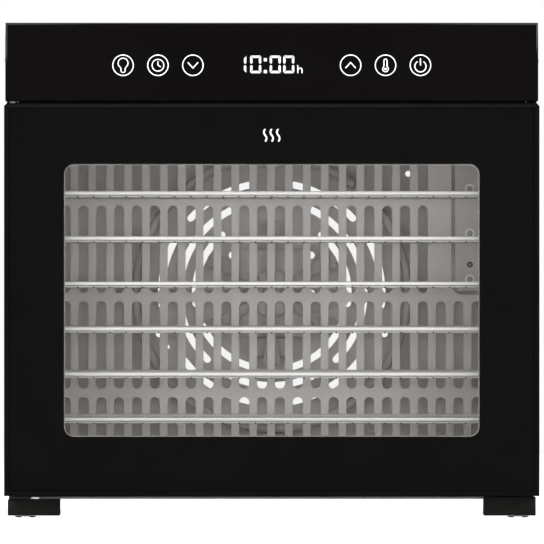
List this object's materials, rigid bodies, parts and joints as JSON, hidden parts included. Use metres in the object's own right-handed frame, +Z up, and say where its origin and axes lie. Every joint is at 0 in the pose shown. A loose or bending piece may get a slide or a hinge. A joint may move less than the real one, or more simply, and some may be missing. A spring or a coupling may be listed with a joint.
{
  "type": "food dehydrator",
  "caption": "Front-loading box dehydrator: glazed side-hung door, stacked wire trays, rear fan and ring heater, touch control head.",
  "frame": {"origin": "on the floor, at the centre of the footprint", "axes": "+Z up, the door faces -Y, +X is to the right seen from the front"},
  "size_m": [0.345, 0.45, 0.319],
  "materials": {
    "black_paint": "satin powder coat",
    "black_plastic": "fine moulded grain",
    "gloss_black": "polished",
    "grey_steel": "galvanised sheet",
    "stainless": "fine brushed",
    "heater_steel": "heat darkened",
    "chrome": "bright plated",
    "fan_metal": "mill",
    "winding": "winding under pale insulating tape",
    "door_glass": "clear window with a black printed border",
    "lens": "frosted",
    "rubber": "matte",
    "silicone": "matte",
    "circuit_board": "solder mask"
  },
  "bodies": {
    "cabinet": {"side_panel_left": "black_paint", "side_panel_right": "black_paint", "top_panel": "black_paint", "base_plate": "grey_steel", "front_frame": "black_plastic", "rear_panel": "grey_steel", "foot_front_left": "black_plastic", "foot_front_right": "black_plastic", "foot_rear_left": "black_plastic", "foot_rear_right": "black_plastic", "foot_pad_front_left": "rubber", "foot_pad_front_right": "rubber", "foot_pad_rear_left": "rubber", "foot_pad_rear_right": "rubber", "liner_ceiling": "stainless", "liner_floor": "stainless", "liner_left": "stainless", "liner_right": "stainless", "baffle_plate": "stainless", "lamp_cover": "stainless", "lamp_board": "circuit_board", "lamp_lens_upper": "lens", "lamp_lens_middle": "lens", "lamp_lens_lower": "lens", "temperature_probe": "grey_steel", "magnet_strike": "chrome", "lower_hinge_bracket": "black_paint", "upper_hinge_bracket": "grey_steel", "lower_hinge_pin": "chrome", "upper_hinge_pin": "chrome", "control_fascia": "gloss_black", "control_housing": "black_plastic", "touch_sensor_film": "circuit_board", "display_module": "gloss_black", "control_board": "circuit_board", "motor_bracket": "grey_steel", "motor_stator": "grey_steel", "motor_coil": "winding", "heater_element": "heater_steel", "heater_bracket": "grey_steel", "thermal_cutout": "grey_steel", "power_board": "circuit_board", "mains_inlet": "black_plastic", "inlet_pin_live": "chrome", "inlet_pin_neutral": "chrome", "inlet_pin_earth": "chrome"},
    "door": {"door_frame": "black_plastic", "door_glass": "door_glass", "door_retainer": "black_plastic", "door_gasket": "silicone", "door_magnet": "grey_steel"},
    "fan": {"motor_rotor": "grey_steel", "fan_impeller": "fan_metal", "fan_nut": "chrome"},
    "tray_1": {"tray_1": "chrome"},
    "tray_2": {"tray_2": "chrome"},
    "tray_3": {"tray_3": "chrome"},
    "tray_4": {"tray_4": "chrome"},
    "tray_5": {"tray_5": "chrome"},
    "tray_6": {"tray_6": "chrome"}
  },
  "joints": [
    {"name": "door_hinge", "type": "hinge", "parent": "cabinet", "child": "door", "pos_m": [-0.167, -0.208, 0.1406], "axis": [0, 0, -1], "range_deg": [0, 110]},
    {"name": "fan_spin", "type": "hinge", "parent": "cabinet", "child": "fan", "pos_m": [0, 0.167, 0.1443], "axis": [0, 1, 0], "continuous": true},
    {"name": "tray_1_slide", "type": "slide", "parent": "cabinet", "child": "tray_1", "axis": [0, -1, 0], "range_m": [0, 0.012]},
    {"name": "tray_2_slide", "type": "slide", "parent": "cabinet", "child": "tray_2", "axis": [0, -1, 0], "range_m": [0, 0.012]},
    {"name": "tray_3_slide", "type": "slide", "parent": "cabinet", "child": "tray_3", "axis": [0, -1, 0], "range_m": [0, 0.012]},
    {"name": "tray_4_slide", "type": "slide", "parent": "cabinet", "child": "tray_4", "axis": [0, -1, 0], "range_m": [0, 0.012]},
    {"name": "tray_5_slide", "type": "slide", "parent": "cabinet", "child": "tray_5", "axis": [0, -1, 0], "range_m": [0, 0.012]},
    {"name": "tray_6_slide", "type": "slide", "parent": "cabinet", "child": "tray_6", "axis": [0, -1, 0], "range_m": [0, 0.012]}
  ]
}
